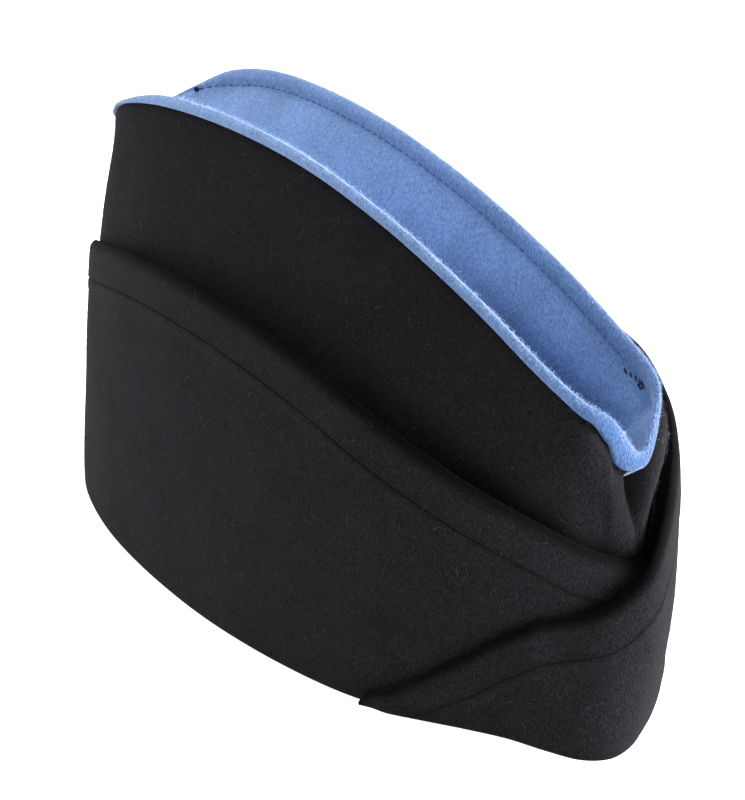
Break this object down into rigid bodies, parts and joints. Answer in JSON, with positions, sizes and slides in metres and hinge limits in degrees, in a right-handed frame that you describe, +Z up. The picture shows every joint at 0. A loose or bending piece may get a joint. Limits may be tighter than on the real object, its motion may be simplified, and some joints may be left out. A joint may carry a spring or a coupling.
{
  "type": "side cap",
  "caption": "Soft felt side cap with a sunken coloured top between raised ridges and a turn-up that laps over itself at the front; worn on the head.",
  "frame": {"origin": "middle of the cap's length and width, on the surface it stands on", "axes": "+X to the cap's front, +Y to the wearer's left, +Z up"},
  "size_m": [0.2501, 0.1125, 0.1381],
  "materials": {
    "black_felt": "matte wool felt with a short nap",
    "blue_cloth": "matte wool cloth with a short nap"
  },
  "bodies": {
    "root": {"crown_side_right": "black_felt", "crown_side_left": "black_felt", "top_gusset": "blue_cloth", "curtain_right": "black_felt", "curtain_left": "black_felt"}
  },
  "joints": []
}
